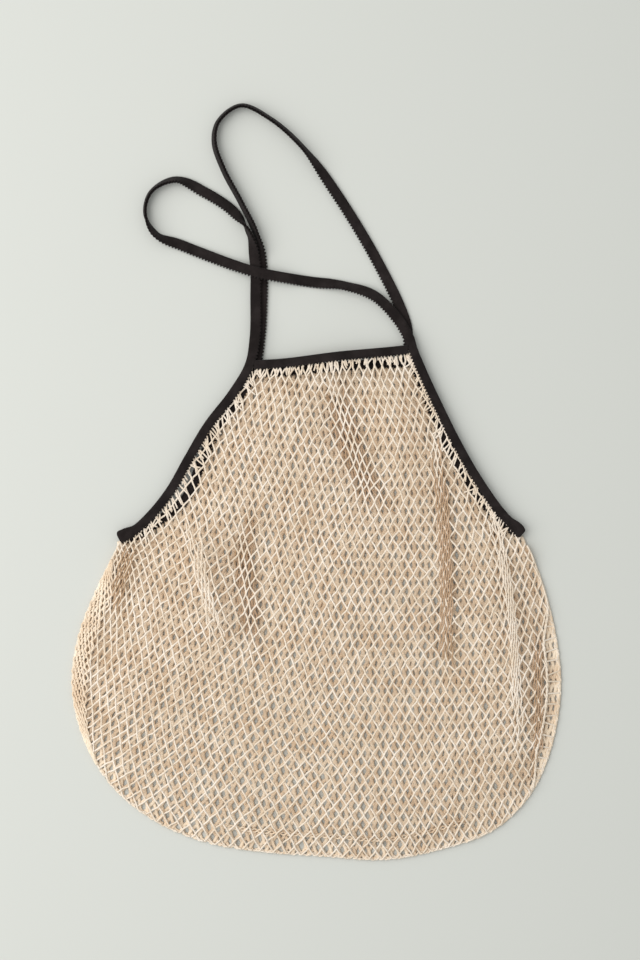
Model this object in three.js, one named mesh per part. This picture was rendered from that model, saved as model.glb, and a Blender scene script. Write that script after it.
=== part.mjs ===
// A cotton net market bag that lies flat, with its two handles laid out above it.
// Each panel of net has folded tape sewn over its mouth and its armholes, and the armhole tape runs on
// past the mouth as the handle. The two panels are seamed to each other round the sides and the bottom.
import * as THREE from "three";

// Driving dimensions, in millimetres: X runs across the bag, Y towards the handles, Z up from the floor.
// Places are measured from the middle of the front mouth.
const MOUTH_WIDTH = 130; // between the middles of the carry tape at the two mouth corners
const MOUTH_SLANT = 12; // how much higher the right mouth corner lies than the left one
const SHOULDER_SPAN = 322; // between the side points, where the armholes end
const SHOULDER_LEAN = -8.6; // from the mouth's middle to the middle of the side points
const SHOULDER_DROP = 142; // from the mouth down to the side points
const BODY_WIDTH = 391; // net at its widest
const BODY_DEPTH = 259; // from the side points down to the bottom rim
const BODY_LEAN = -11.8; // from the mouth's middle to the middle of the net
const TALL_RISE = 202; // from the mouth to the top of the back handle
const SHORT_RISE = 142; // from the mouth to the top of the front handle, which has flopped over

// Folded tape.
const TAPE_LEAF = 1; // one layer of the tape
const HANDLE_WIDTH = 9.2;
const HANDLE_SLOT = 0.4; // between the two layers in the handle
const BINDING_WIDTH = 8.3;
const GROOVE_DEPTH = 4; // how far the tape is open from its edge, where the net goes in
const NET_SEAT = 3; // how far the net's edge reaches into the tape

// Net, drawn with large meshes.
const NET_WALL = 1.2;
const MESH_WIDTH = 54; // of a whole mesh, at the height where the fan has its full spread
const MESH_HEIGHT = 80;
const BAND_WIDTH = 8.5; // of net between two gaps
const BORDER_WIDTH = 9; // of net between the outline and the nearest gap
const FAN_MIDDLE = 67; // from the mouth's middle to the line of meshes that runs straight down
const BELLY_RISE = 8; // how far the front panel stands up over its seam
const CROWN_RUN = 70; // from the seam to where the front panel reaches its full rise
const MOUTH_ARCH = 7.5; // how far the middle of the front mouth stands up over its corners
const CLEARANCE = 0.3; // between pieces that touch
const SHORT_EDGE = 1; // a gap's edges are longer than this
const BACK_SETTLE = 14; // from the tape to where the back net has come down to the floor
const FRONT_SETTLE = 30; // from the tape to where the front net has left the tape's height

const FAN_AT_MOUTH = 0.72; // spread of the meshes, as a share of their full width
const FAN_AT_BOTTOM = 1.08;
const SMALLEST_GAP = 0.2; // a clipped gap is left out below this share of a whole one
const FLAT_EDGE = 0.75; // share of the border that keeps the tape's height
const RING_AT = 0.65; // share of the border at which the net's inner ring lies

const bindingSlot = NET_WALL + 2 * CLEARANCE;
const bindingLayer = 2 * TAPE_LEAF + bindingSlot + CLEARANCE;
const handleLayer = 2 * TAPE_LEAF + HANDLE_SLOT + CLEARANCE;

// Armhole tape, from the mouth corner to the side point. out is the share of the way to the side point
// across the bag, down the share of the drop, and inset how far the back tape lies inside the front one,
// as a share of the binding's width.
const LEFT_ARM = [
  { out: 0, down: 0, inset: 0.58 },
  { out: 0.126, down: 0.165, inset: 0.63 },
  { out: 0.314, down: 0.353, inset: 0.8 },
  { out: 0.459, down: 0.541, inset: 1.25 },
  { out: 0.597, down: 0.729, inset: 1.6 },
  { out: 0.734, down: 0.865, inset: 0.95 },
  { out: 0.872, down: 0.965, inset: 0.5 },
  { out: 1, down: 1.012, inset: 0 },
];
const RIGHT_ARM = [
  { out: 0, down: 0, inset: 0.3 },
  { out: 0.105, down: 0.146, inset: 0.4 },
  { out: 0.243, down: 0.319, inset: 0.65 },
  { out: 0.389, down: 0.492, inset: 0.75 },
  { out: 0.554, down: 0.665, inset: 0.85 },
  { out: 0.751, down: 0.838, inset: 0.6 },
  { out: 0.874, down: 0.922, inset: 0.3 },
  { out: 1, down: 0.989, inset: 0 },
];

// Handles, from the left mouth corner round to the right one. across is a share of half the mouth's
// width, rise a share of the handle's rise, twist the turn of the tape about its length in degrees, and
// over and bound how many layers of handle and of binding lie under it.
const TALL_LOOP = [
  { across: -0.871, rise: 0.089, twist: 0, over: 0, bound: 0 },
  { across: -0.852, rise: 0.184, twist: 0, over: 0, bound: 0 },
  { across: -0.852, rise: 0.374, twist: 0, over: 0, bound: 0 },
  { across: -0.926, rise: 0.493, twist: 68, over: 0, bound: 0 },
  { across: -1.117, rise: 0.62, twist: 78, over: 0, bound: 0 },
  { across: -1.326, rise: 0.747, twist: 78, over: 0, bound: 0 },
  { across: -1.437, rise: 0.857, twist: 78, over: 0, bound: 0 },
  { across: -1.382, rise: 0.937, twist: 78, over: 0, bound: 0 },
  { across: -1.111, rise: 0.998, twist: 78, over: 0, bound: 0 },
  { across: -0.754, rise: 0.947, twist: 78, over: 0, bound: 0 },
  { across: -0.36, rise: 0.836, twist: 70, over: 0, bound: 0 },
  { across: 0.034, rise: 0.663, twist: 12, over: 0, bound: 0 },
  { across: 0.538, rise: 0.398, twist: 0, over: 0, bound: 0 },
  { across: 0.908, rise: 0.145, twist: 0, over: 0, bound: 0 },
];
const SHORT_LOOP = [
  { across: -0.932, rise: 0.115, twist: 0, over: 0, bound: 1 },
  { across: -0.924, rise: 0.33, twist: 0, over: 1, bound: 0 },
  { across: -0.932, rise: 0.544, twist: 0, over: 1, bound: 0 },
  { across: -1.006, rise: 0.701, twist: 70, over: 0.6, bound: 0 },
  { across: -1.222, rise: 0.831, twist: 165, over: 0, bound: 0 },
  { across: -1.566, rise: 0.935, twist: 175, over: 0, bound: 0 },
  { across: -1.911, rise: 1.003, twist: 122, over: 0, bound: 0 },
  { across: -2.206, rise: 0.938, twist: 106, over: 0, bound: 0 },
  { across: -2.286, rise: 0.82, twist: 100, over: 0, bound: 0 },
  { across: -2.157, rise: 0.696, twist: 62, over: 0, bound: 0 },
  { across: -1.837, rise: 0.634, twist: 8, over: 0, bound: 0 },
  { across: -1.345, rise: 0.546, twist: 0, over: 0.5, bound: 0 },
  { across: -1, rise: 0.49, twist: 0, over: 2, bound: 0 },
  { across: -0.803, rise: 0.468, twist: 0, over: 2, bound: 0 },
  { across: -0.237, rise: 0.428, twist: 0, over: 0, bound: 0 },
  { across: 0.169, rise: 0.406, twist: 40, over: 0, bound: 0 },
  { across: 0.526, rise: 0.349, twist: 15, over: 1, bound: 0 },
  { across: 0.797, rise: 0.228, twist: 0, over: 1, bound: 0 },
  { across: 0.945, rise: 0.115, twist: 0, over: 0.2, bound: 0.8 },
];

// Mouth binding, from left to right. along is a share of the mouth, and dip how far the tape lies below
// the line between the front corners, as a share of the binding's width.
const FRONT_MOUTH = [
  { along: 0.0, dip: 0.0 },
  { along: 0.22, dip: 0.12 },
  { along: 0.55, dip: -0.03 },
  { along: 0.8, dip: -0.05 },
  { along: 1.0, dip: -0.1 },
];
const BACK_MOUTH = [
  { along: 0.0, dip: 0.72 },
  { along: 0.22, dip: 0.86 },
  { along: 0.55, dip: 0.86 },
  { along: 0.8, dip: 0.98 },
  { along: 1.0, dip: 1.1 },
];

// Outline of the net below the side points, from the left one round to the right one. side is a share of
// half the body's width, or where a row is tied to the side points, of half the way between them, and drop
// is a share of the body's depth.
const RIM = [
  { side: -1.02, drop: 0.046, tied: 1 },
  { side: -0.998, drop: 0.167, tied: 0.5 },
  { side: -1.004, drop: 0.312, tied: 0.15 },
  { side: -1, drop: 0.46, tied: 0 },
  { side: -0.959, drop: 0.614, tied: 0 },
  { side: -0.853, drop: 0.759, tied: 0 },
  { side: -0.681, drop: 0.872, tied: 0 },
  { side: -0.46, drop: 0.945, tied: 0 },
  { side: -0.231, drop: 0.975, tied: 0 },
  { side: 0.035, drop: 0.99, tied: 0 },
  { side: 0.28, drop: 1, tied: 0 },
  { side: 0.505, drop: 0.969, tied: 0 },
  { side: 0.722, drop: 0.91, tied: 0 },
  { side: 0.873, drop: 0.802, tied: 0 },
  { side: 0.959, drop: 0.66, tied: 0 },
  { side: 1, drop: 0.475, tied: 0 },
  { side: 1.008, drop: 0.321, tied: 0.15 },
  { side: 1.017, drop: 0.167, tied: 0.5 },
  { side: 1.05, drop: 0.052, tied: 1 },
];

// Folds of the front panel. Each runs from (side0, down0) to (side1, down1), in shares of half the body's
// width and of the whole depth below the mouth; lift is a share of the belly's rise, and reach the fold's
// half width as a share of the body's width.
const FOLDS = [
  { side0: 0.49, down0: 0.18, side1: 0.53, down1: 0.61, lift: -0.32, reach: 0.045 },
  { side0: 0.07, down0: 0.06, side1: 0.2, down1: 0.25, lift: -0.3, reach: 0.04 },
  { side0: -0.3, down0: 0.35, side1: -0.27, down1: 0.58, lift: -0.28, reach: 0.045 },
  { side0: -0.49, down0: 0.36, side1: -0.39, down1: 0.56, lift: 0.3, reach: 0.05 },
  { side0: 0.74, down0: 0.36, side1: 0.82, down1: 0.77, lift: 0.28, reach: 0.04 },
];

const { lerp, smoothstep, clamp, degToRad } = THREE.MathUtils;
const point = (x, y) => new THREE.Vector2(x, y);

// A smooth run of stations through rows that hold x, y and other numbers. The place follows a curve, and
// every other number eases from row to row.
function stations(rows, steps) {
  const curve = new THREE.CatmullRomCurve3(
    rows.map((row) => new THREE.Vector3(row.x, row.y, 0)),
    false,
    "centripetal",
  );
  const last = rows.length - 1;
  return Array.from({ length: last * steps + 1 }, (_, i) => {
    const at = curve.getPoint(i / (last * steps));
    const along = curve.getTangent(i / (last * steps));
    const from = rows[Math.min(Math.floor(i / steps), last - 1)];
    const to = rows[Math.min(Math.floor(i / steps) + 1, last)];
    const share = smoothstep(i / steps - rows.indexOf(from), 0, 1);
    const station = { x: at.x, y: at.y, dx: along.x, dy: along.y };
    for (const key of Object.keys(from)) {
      if (key !== "x" && key !== "y") station[key] = lerp(from[key], to[key], share);
    }
    return station;
  });
}

// Armhole rows in place. The back tape is the front one moved in towards the net.
function armRows(table, side, isBack) {
  const corner = point((side * MOUTH_WIDTH) / 2, (side * MOUTH_SLANT) / 2);
  const end = point(SHOULDER_LEAN + (side * SHOULDER_SPAN) / 2, -SHOULDER_DROP);
  const rows = table.map(({ out, down, inset }) => ({
    x: lerp(corner.x, end.x, out),
    y: lerp(corner.y, end.y, down),
    inset,
    twist: 0,
    over: 0,
    bound: isBack ? 0 : 1,
    net: 1,
  }));
  if (!isBack) return rows;
  return rows.map((row, i) => {
    const before = rows[Math.max(i - 1, 0)];
    const after = rows[Math.min(i + 1, rows.length - 1)];
    const run = point(after.x - before.x, after.y - before.y).normalize();
    const shift = row.inset * BINDING_WIDTH * side;
    return { ...row, x: row.x + run.y * shift, y: row.y - run.x * shift };
  });
}

function carryStations(loop, rise, isBack, steps) {
  const left = armRows(LEFT_ARM, -1, isBack).reverse();
  const right = armRows(RIGHT_ARM, 1, isBack);
  const rows = loop.map(({ across, rise: up, twist, over, bound }) => ({
    x: (across * MOUTH_WIDTH) / 2,
    y: up * rise,
    inset: 0,
    twist,
    over,
    bound,
    net: 0,
  }));
  return stations([...left, ...rows, ...right], steps);
}

// Cross-section of folded tape: s runs from the fold to the open edge, t through the two layers.
function tapeSection(width, slot, depth) {
  const half = width / 2;
  const outer = slot / 2 + TAPE_LEAF;
  const round = TAPE_LEAF * 0.8;
  return [
    [-half, -outer + round],
    [-half, outer - round],
    [-half + round, outer],
    [half, outer],
    [half, slot / 2],
    [half - depth, slot / 2],
    [half - depth, -slot / 2],
    [half, -slot / 2],
    [half, -outer],
    [-half + round, -outer],
  ];
}

// A closed body swept through rings of equal length, with its two ends filled.
function sweep(rings, section) {
  const count = section.length;
  const flat = section.map(([s, t]) => point(s, t));
  const caps = THREE.ShapeUtils.triangulateShape(flat, []);
  const index = [];
  for (let i = 0; i + 1 < rings.length; i += 1) {
    for (let j = 0; j < count; j += 1) {
      const a = i * count + j;
      const b = i * count + ((j + 1) % count);
      index.push(a, a + count, b, b, a + count, b + count);
    }
  }
  const end = (rings.length - 1) * count;
  for (const [a, b, c] of caps) {
    index.push(a, c, b);
    index.push(end + a, end + b, end + c);
  }
  const geometry = new THREE.BufferGeometry();
  const places = rings.flat().flatMap((v) => [v.x, v.y, v.z]);
  geometry.setAttribute("position", new THREE.Float32BufferAttribute(places, 3));
  geometry.setIndex(index);
  return facingOut(geometry);
}

// The same body with every face turned round if it was inside out.
function facingOut(geometry) {
  const { array } = geometry.getAttribute("position");
  const index = geometry.getIndex().array;
  const corner = (i) => new THREE.Vector3().fromArray(array, index[i] * 3);
  let volume = 0;
  for (let i = 0; i < index.length; i += 3) {
    volume += corner(i).dot(corner(i + 1).cross(corner(i + 2)));
  }
  if (volume < 0) {
    for (let i = 0; i < index.length; i += 3) {
      [index[i + 1], index[i + 2]] = [index[i + 2], index[i + 1]];
    }
  }
  geometry.computeVertexNormals();
  return geometry;
}

// One carry tape. Its open edge is on the right of its run, towards the net and into the loop.
function carryTape(run) {
  const rings = run.map((at) => {
    const width = lerp(HANDLE_WIDTH, BINDING_WIDTH, at.net);
    const slot = lerp(HANDLE_SLOT, bindingSlot, at.net);
    const turn = degToRad(at.twist);
    const lift = (width / 2) * Math.abs(Math.sin(turn)) + (slot / 2 + TAPE_LEAF) * Math.abs(Math.cos(turn));
    const middle = at.over * handleLayer + at.bound * bindingLayer + lift;
    const across = new THREE.Vector3(at.dy, -at.dx, 0).normalize();
    return tapeSection(width, slot, GROOVE_DEPTH).map(([s, t]) => {
      const out = s * Math.cos(turn) - t * Math.sin(turn);
      const up = s * Math.sin(turn) + t * Math.cos(turn);
      return new THREE.Vector3(at.x, at.y, middle + up).addScaledVector(across, out);
    });
  });
  return sweep(rings, tapeSection(BINDING_WIDTH, bindingSlot, GROOVE_DEPTH));
}

// The line that lies a given way from the fold of the tape, along one armhole, from the mouth down.
function armLine(run, side, share) {
  const bound = run.filter((at) => at.inset !== undefined && at.net === 1 && at.x * side > 0);
  const line = bound.map((at) => {
    const across = point(at.dy, -at.dx).normalize();
    return point(at.x, at.y).addScaledVector(across, share);
  });
  return line.sort((a, b) => b.y - a.y);
}

// X on a line that falls from its first point to its last, at a height.
function crossing(line, y) {
  const i = clamp(
    line.findIndex((p) => p.y <= y),
    1,
    line.length - 1,
  );
  return lerp(line[i - 1].x, line[i].x, (y - line[i - 1].y) / (line[i].y - line[i - 1].y));
}

// Share of the way across the mouth, and the height that the front mouth is arched to there.
const mouthShare = (x) => clamp(x / MOUTH_WIDTH + 0.5, 0, 1);
const archAt = (x) => (MOUTH_ARCH * (1 - Math.cos(2 * Math.PI * mouthShare(x)))) / 2;

// Points along the mouth, a way below the middle of its binding, between the two armhole lines.
function mouthLine(table, leftLine, rightLine, below, count) {
  const rows = table.map(({ along, dip }) => ({
    x: (along - 0.5) * MOUTH_WIDTH,
    y: (along - 0.5) * MOUTH_SLANT - dip * BINDING_WIDTH - below,
  }));
  const run = stations(rows, 4);
  const left = crossing(leftLine, run[0].y);
  const right = crossing(rightLine, run[run.length - 1].y);
  return Array.from({ length: count + 1 }, (_, i) => {
    const x = lerp(left, right, i / count);
    const next = clamp(
      run.findIndex((p) => p.x >= x),
      1,
      run.length - 1,
    );
    const [a, b] = [run[next - 1], run[next]];
    return point(x, lerp(a.y, b.y, (x - a.x) / (b.x - a.x)));
  });
}

// Mouth binding: a strip of folded tape between its upper and its lower edge, cut along the carry tape.
function mouthBinding(table, run, isBack, count) {
  const stop = BINDING_WIDTH / 2 + CLEARANCE;
  const lines = [-1, 1].map((side) => armLine(run, side, stop));
  const upper = mouthLine(table, lines[0], lines[1], -BINDING_WIDTH / 2, count);
  const lower = mouthLine(table, lines[0], lines[1], BINDING_WIDTH / 2, count);
  const section = tapeSection(BINDING_WIDTH, bindingSlot, GROOVE_DEPTH);
  const rings = upper.map((top, i) => {
    const foot = isBack ? 0 : bindingLayer + archAt((top.x + lower[i].x) / 2);
    const middle = foot + bindingSlot / 2 + TAPE_LEAF;
    return section.map(([s, t]) => {
      const at = top.clone().lerp(lower[i], s / BINDING_WIDTH + 0.5);
      return new THREE.Vector3(at.x, at.y, middle + t);
    });
  });
  return sweep(rings, section);
}

// Outline of the net under the side points.
function rimLine(count) {
  const rows = RIM.map(({ side, drop, tied }) => ({
    x: lerp(BODY_LEAN, SHOULDER_LEAN, tied) + (side * lerp(BODY_WIDTH, SHOULDER_SPAN, tied)) / 2,
    y: -SHOULDER_DROP - drop * BODY_DEPTH,
  }));
  return stations(rows, count).map((p) => point(p.x, p.y));
}

// Ring of points moved inwards from a ring that runs anticlockwise.
function insetRing(ring, distance) {
  return ring.map((p, i) => {
    const before = ring[(i + ring.length - 1) % ring.length];
    const after = ring[(i + 1) % ring.length];
    const a = p.clone().sub(before).normalize();
    const b = after.clone().sub(p).normalize();
    const inward = point(-a.y - b.y, a.x + b.x).normalize();
    const miter = Math.max(inward.dot(point(-a.y, a.x)), 0.7);
    return p.clone().addScaledVector(inward, distance / miter);
  });
}

// What is left of a ring on the inner side of each edge of an anticlockwise convex shape.
function clipRing(ring, convex) {
  return convex.reduce((kept, from, k) => {
    const to = convex[(k + 1) % convex.length];
    const edge = to.clone().sub(from);
    const side = (p) => edge.cross(p.clone().sub(from));
    return kept.flatMap((p, i) => {
      const q = kept[(i + 1) % kept.length];
      const [sp, sq] = [side(p), side(q)];
      const cut = () => p.clone().lerp(q, sp / (sp - sq));
      if (sp >= 0) return sq >= 0 ? [p] : [p, cut()];
      return sq >= 0 ? [cut()] : [];
    });
  }, ring);
}

const ringArea = (ring) => THREE.ShapeUtils.area(ring);

// A ring without points that lie nearer than a given way to the one before.
function spaced(ring, least) {
  return ring.filter((p, i) => p.distanceTo(ring[(i + ring.length - 1) % ring.length]) > least);
}

// Gaps of the net: diamonds on lines that fan out from the mouth, cut off inside a ring. Those of the back
// panel lie behind the crossings of the front one.
function netGaps(limit, isBack, steps) {
  const start = isBack ? 1 : 0;
  const depth = SHOULDER_DROP + BODY_DEPTH;
  const knot = (column, row) => {
    const y = -row * (MESH_HEIGHT / 2);
    const spread = lerp(FAN_AT_MOUTH, FAN_AT_BOTTOM, clamp(-y / depth, 0, 1));
    return point(FAN_MIDDLE + column * (MESH_WIDTH / 2) * spread, y);
  };
  const slope = Math.hypot(MESH_WIDTH, MESH_HEIGHT);
  const open = 1 - (BAND_WIDTH * slope) / (MESH_WIDTH * MESH_HEIGHT);
  const gaps = [];
  const reach = Math.ceil((2 * BODY_WIDTH) / (MESH_WIDTH * FAN_AT_MOUTH));
  for (let row = 0; row * (MESH_HEIGHT / 2) < depth; row += 1) {
    for (let column = -reach; column <= reach; column += 1) {
      if (Math.abs(row + column) % 2 !== start) continue;
      const corners = [
        knot(column + open, row),
        knot(column, row - open),
        knot(column - open, row),
        knot(column, row + open),
      ];
      const whole = corners.flatMap((from, i) =>
        Array.from({ length: steps }, (_, k) => from.clone().lerp(corners[(i + 1) % 4], k / steps)),
      );
      const gap = spaced(clipRing(limit, corners), SHORT_EDGE);
      const share = gap.length > 2 ? ringArea(gap) / ringArea(corners) : 0;
      if (share > 0.999) gaps.push(whole);
      else if (share > SMALLEST_GAP) gaps.push(gap);
    }
  }
  return gaps;
}

// Distance from a point to a line of points.
function distanceTo(line, p) {
  let least = Infinity;
  for (let i = 0; i + 1 < line.length; i += 1) {
    const run = line[i + 1].clone().sub(line[i]);
    const share = clamp(p.clone().sub(line[i]).dot(run) / run.lengthSq(), 0, 1);
    least = Math.min(least, p.distanceTo(line[i].clone().addScaledVector(run, share)));
  }
  return least;
}

// Lift of the folds at a point, as a share of the belly's rise.
function foldLift(p) {
  const place = (side, down) =>
    point(BODY_LEAN + (side * BODY_WIDTH) / 2, -down * (SHOULDER_DROP + BODY_DEPTH));
  return FOLDS.reduce((sum, f) => {
    const away = distanceTo([place(f.side0, f.down0), place(f.side1, f.down1)], p);
    return sum + f.lift * Math.exp(-((away / (f.reach * BODY_WIDTH)) ** 2));
  }, 0);
}

// One panel of net: a sheet whose underside height is a function of place, with gaps right through it.
function netPanel(table, run, isBack, steps) {
  const seat = BINDING_WIDTH / 2 - NET_SEAT;
  const arms = [-1, 1].map((side) => armLine(run, side, seat));
  const mouth = mouthLine(table, arms[0], arms[1], seat, 10);
  const under = (line, top) => line.filter((p) => p.y < top.y - 2 * NET_SEAT);
  const bound = [
    ...under(arms[0], mouth[0]).reverse(),
    ...mouth,
    ...under(arms[1], mouth[mouth.length - 1]),
  ];
  const rim = rimLine(3);
  const outline = [...rim, ...bound.slice().reverse()];
  const edgeFoot = TAPE_LEAF + CLEARANCE;
  const seam = NET_WALL + CLEARANCE;
  const flatRun = BORDER_WIDTH * FLAT_EDGE;

  const underside = (p) => {
    const toBound = distanceTo(bound, p);
    if (isBack) return lerp(edgeFoot, 0, smoothstep(toBound, flatRun, flatRun + BACK_SETTLE));
    const crown = 1 - (1 - Math.min(distanceTo(rim, p) / CROWN_RUN, 1)) ** 2;
    const belly = seam + BELLY_RISE * crown * (1 + foldLift(p));
    const edge = bindingLayer + edgeFoot + archAt(p.x);
    return lerp(edge, belly, smoothstep(toBound, flatRun, flatRun + FRONT_SETTLE));
  };

  const inner = insetRing(outline, BORDER_WIDTH * RING_AT);
  const gaps = netGaps(insetRing(outline, BORDER_WIDTH), isBack, steps);
  return sheet(outline, inner, gaps, underside);
}

// A closed sheet of one wall's thickness from an outline, a ring inside it and the gaps inside that.
function sheet(outer, inner, gaps, underside) {
  const flat = [...outer, ...inner, ...gaps.flat()];
  const count = flat.length;
  const size = outer.length;
  const faces = THREE.ShapeUtils.triangulateShape(inner, gaps).map((face) => face.map((i) => i + size));
  for (let i = 0; i < size; i += 1) {
    const next = (i + 1) % size;
    faces.push([i, next, size + i], [next, size + next, size + i]);
  }
  const index = [];
  for (const [a, b, c] of faces) {
    index.push(a + count, b + count, c + count);
    index.push(a, c, b);
  }
  const wall = (ring, start, out) => {
    for (let i = 0; i < ring; i += 1) {
      const [a, b] = [start + i, start + ((i + 1) % ring)];
      if (out) index.push(a, b, b + count, a, b + count, a + count);
      else index.push(a, b + count, b, a, a + count, b + count);
    }
  };
  wall(size, 0, true);
  let start = 2 * size;
  for (const gap of gaps) {
    wall(gap.length, start, ringArea(gap) < 0);
    start += gap.length;
  }
  const low = flat.map((p) => [p.x, p.y, underside(p)]);
  const high = low.map(([x, y, z]) => [x, y, z + NET_WALL]);
  const geometry = new THREE.BufferGeometry();
  geometry.setAttribute("position", new THREE.Float32BufferAttribute([...low, ...high].flat(), 3));
  geometry.setIndex(index);
  return facingOut(geometry);
}

const cotton = new THREE.MeshStandardMaterial({ color: 0xe4d3b8, roughness: 0.95, metalness: 0 });
const tape = new THREE.MeshStandardMaterial({ color: 0x2b2523, roughness: 0.85, metalness: 0 });

const bag = new THREE.Group();
function add(name, geometry, material) {
  const mesh = new THREE.Mesh(geometry, material);
  mesh.name = name;
  bag.add(mesh);
}

const backRun = carryStations(TALL_LOOP, TALL_RISE, true, 4);
const frontRun = carryStations(SHORT_LOOP, SHORT_RISE, false, 4);
add("back_net", netPanel(BACK_MOUTH, backRun, true, 1), cotton);
add("front_net", netPanel(FRONT_MOUTH, frontRun, false, 2), cotton);
add("back_mouth_binding", mouthBinding(BACK_MOUTH, backRun, true, 10), tape);
add("front_mouth_binding", mouthBinding(FRONT_MOUTH, frontRun, false, 14), tape);
add("back_carry_tape", carryTape(backRun), tape);
add("front_carry_tape", carryTape(frontRun), tape);

// The origin is under the middle of the whole bag.
const footprint = new THREE.Box3().setFromObject(bag).getCenter(new THREE.Vector3());
bag.position.set(-footprint.x, -footprint.y, 0);

export default bag;
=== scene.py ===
# %% [markdown]
# # A cotton net market bag that lies flat
# The bag is two panels of open cotton net, sewn together round the sides and the bottom. Black tape is
# folded over every free edge of the net, and the tape of each armhole runs on as a handle.
# In this lesson the net is made from real strands of yarn, and the tape from one folded profile that is
# carried along a path. Both are plain numpy surfaces: whole arrays of points, with no loop over vertices.

import bpy
import numpy as np
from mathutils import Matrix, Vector


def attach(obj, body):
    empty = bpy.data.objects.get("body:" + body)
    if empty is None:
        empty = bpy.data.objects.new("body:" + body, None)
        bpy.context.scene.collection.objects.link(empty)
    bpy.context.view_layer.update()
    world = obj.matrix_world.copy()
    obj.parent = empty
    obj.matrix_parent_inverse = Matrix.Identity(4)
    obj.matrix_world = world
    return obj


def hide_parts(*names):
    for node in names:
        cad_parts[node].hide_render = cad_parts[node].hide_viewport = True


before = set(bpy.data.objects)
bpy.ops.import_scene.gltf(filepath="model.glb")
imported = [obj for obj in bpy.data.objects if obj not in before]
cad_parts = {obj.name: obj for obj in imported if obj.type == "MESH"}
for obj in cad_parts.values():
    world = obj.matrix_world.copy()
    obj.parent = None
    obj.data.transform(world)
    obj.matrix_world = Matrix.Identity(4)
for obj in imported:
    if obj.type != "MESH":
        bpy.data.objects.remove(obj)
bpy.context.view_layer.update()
print("nodes:", sorted(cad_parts))

# %% [markdown]
# ## One set of measures
# Every length here is in millimetres. Places on the bag are measured from the middle of the front mouth,
# with x to the right and y towards the handles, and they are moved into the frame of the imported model
# only when a mesh is written. Blender works in metres, so that step also divides by a thousand.

# %% Measures of the bag
MM = 0.001
MOUTH_AT = np.array([11.8, 98.96, 0.0])  # the middle of the front mouth, in the frame of the model
MOUTH_WIDTH = 130
MOUTH_SLANT = 12
SHOULDER_SPAN = 322
SHOULDER_LEAN = -8.6
SHOULDER_DROP = 142
BODY_WIDTH = 391
BODY_DEPTH = 259
BODY_LEAN = -11.8
TALL_RISE = 202
SHORT_RISE = 142

TAPE_LEAF = 1.0
HANDLE_WIDTH = 9.2
HANDLE_SLOT = 0.4
BINDING_WIDTH = 8.3
BINDING_SLOT = 1.8
GROOVE_DEPTH = 4.0
BINDING_LAYER = 4.1  # height of one layer of binding, with its clearance
HANDLE_LAYER = 2.7
NET_SEAT = 3.0


# %% [markdown]
# ## Writing a mesh from arrays
# `foreach_set` copies a whole numpy array into a mesh at once, which is hundreds of times faster than
# adding vertices one by one. A face is a run of corners, so faces with four corners and faces with many
# can share one flat list, as long as each face says where its corners start.

# %% A helper that turns arrays into a piece
def write_piece(name, points, faces, corner_uv):
    """A mesh object from points (n, 3) in millimetres and a list of face arrays (m, corners).
    corner_uv has one (m, corners, 2) array for each face array. Unused points are left out."""
    flat = np.concatenate([f.ravel() for f in faces])
    used, loops = np.unique(flat, return_inverse=True)
    sizes = np.concatenate([np.full(len(f), f.shape[1]) for f in faces])
    starts = np.concatenate([[0], np.cumsum(sizes)[:-1]])
    mesh = bpy.data.meshes.new(name)
    mesh.vertices.add(len(used))
    mesh.vertices.foreach_set("co", ((points[used] + MOUTH_AT) * MM).astype(np.float32).ravel())
    mesh.loops.add(len(loops))
    mesh.loops.foreach_set("vertex_index", loops.astype(np.int32).ravel())
    mesh.polygons.add(len(sizes))
    mesh.polygons.foreach_set("loop_start", starts.astype(np.int32))
    mesh.polygons.foreach_set("use_smooth", np.full(len(sizes), True))
    layer = mesh.uv_layers.new(name="UVMap")
    uv = np.concatenate([c.reshape(-1, 2) for c in corner_uv])
    layer.data.foreach_set("uv", uv.astype(np.float32).ravel())
    mesh.update(calc_edges=True)
    mesh.validate()
    piece = bpy.data.objects.new(name, mesh)
    bpy.context.scene.collection.objects.link(piece)
    triangles = int((sizes - 2).sum())
    print(f"{name}: {len(used)} points, {triangles} triangles")
    return piece


# %% [markdown]
# ## Skinning rings
# Yarn and tape are both tubes: a closed ring of points is carried along a path, and neighbouring rings are
# joined by quads. A strand that leaves the bag is simply marked as not valid there, so one array holds
# every strand of a panel. Where a valid run starts or stops, one flat face closes the tube.

# %% Rings to faces
def skin(name, rings, along, valid=None):
    """Tubes from rings (strand, station, side, 3). Quads join station r to r + 1 and side k to k + 1;
    a cap closes each end of a valid run. UV is (length along in millimetres, share of the way round)."""
    strands, stations, sides, _ = rings.shape
    if valid is None:
        valid = np.ones((strands, stations), bool)
    index = np.arange(strands * stations * sides).reshape(strands, stations, sides)
    both = valid[:, :-1] & valid[:, 1:]
    turned = np.roll(index, -1, axis=2)
    quads = np.stack([index[:, :-1], turned[:, :-1], turned[:, 1:], index[:, 1:]], axis=-1)[both]
    share = np.broadcast_to(np.arange(sides) / sides, index.shape)
    reach = np.broadcast_to(along[..., None], index.shape)
    low = np.stack([reach[:, :-1], share[:, :-1]], axis=-1)[both]
    high = np.stack([reach[:, 1:], share[:, 1:]], axis=-1)[both]
    step = np.array([0, 1 / sides])
    quad_uv = np.stack([low, low + step, high + step, high], axis=-2)
    lone = np.zeros((strands, 1), bool)
    starts = valid & ~np.concatenate([lone, valid[:, :-1]], axis=1) & np.concatenate([both, lone], axis=1)
    ends = valid & ~np.concatenate([valid[:, 1:], lone], axis=1) & np.concatenate([lone, both], axis=1)
    caps = np.concatenate([index[starts][:, ::-1], index[ends]])
    cap_uv = np.zeros(caps.shape + (2,))
    cap_uv[..., 1] = share[0, 0]
    return write_piece(name, rings.reshape(-1, 3), [quads.reshape(-1, 4), caps],
                       [quad_uv.reshape(-1, 4, 2), cap_uv])


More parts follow.
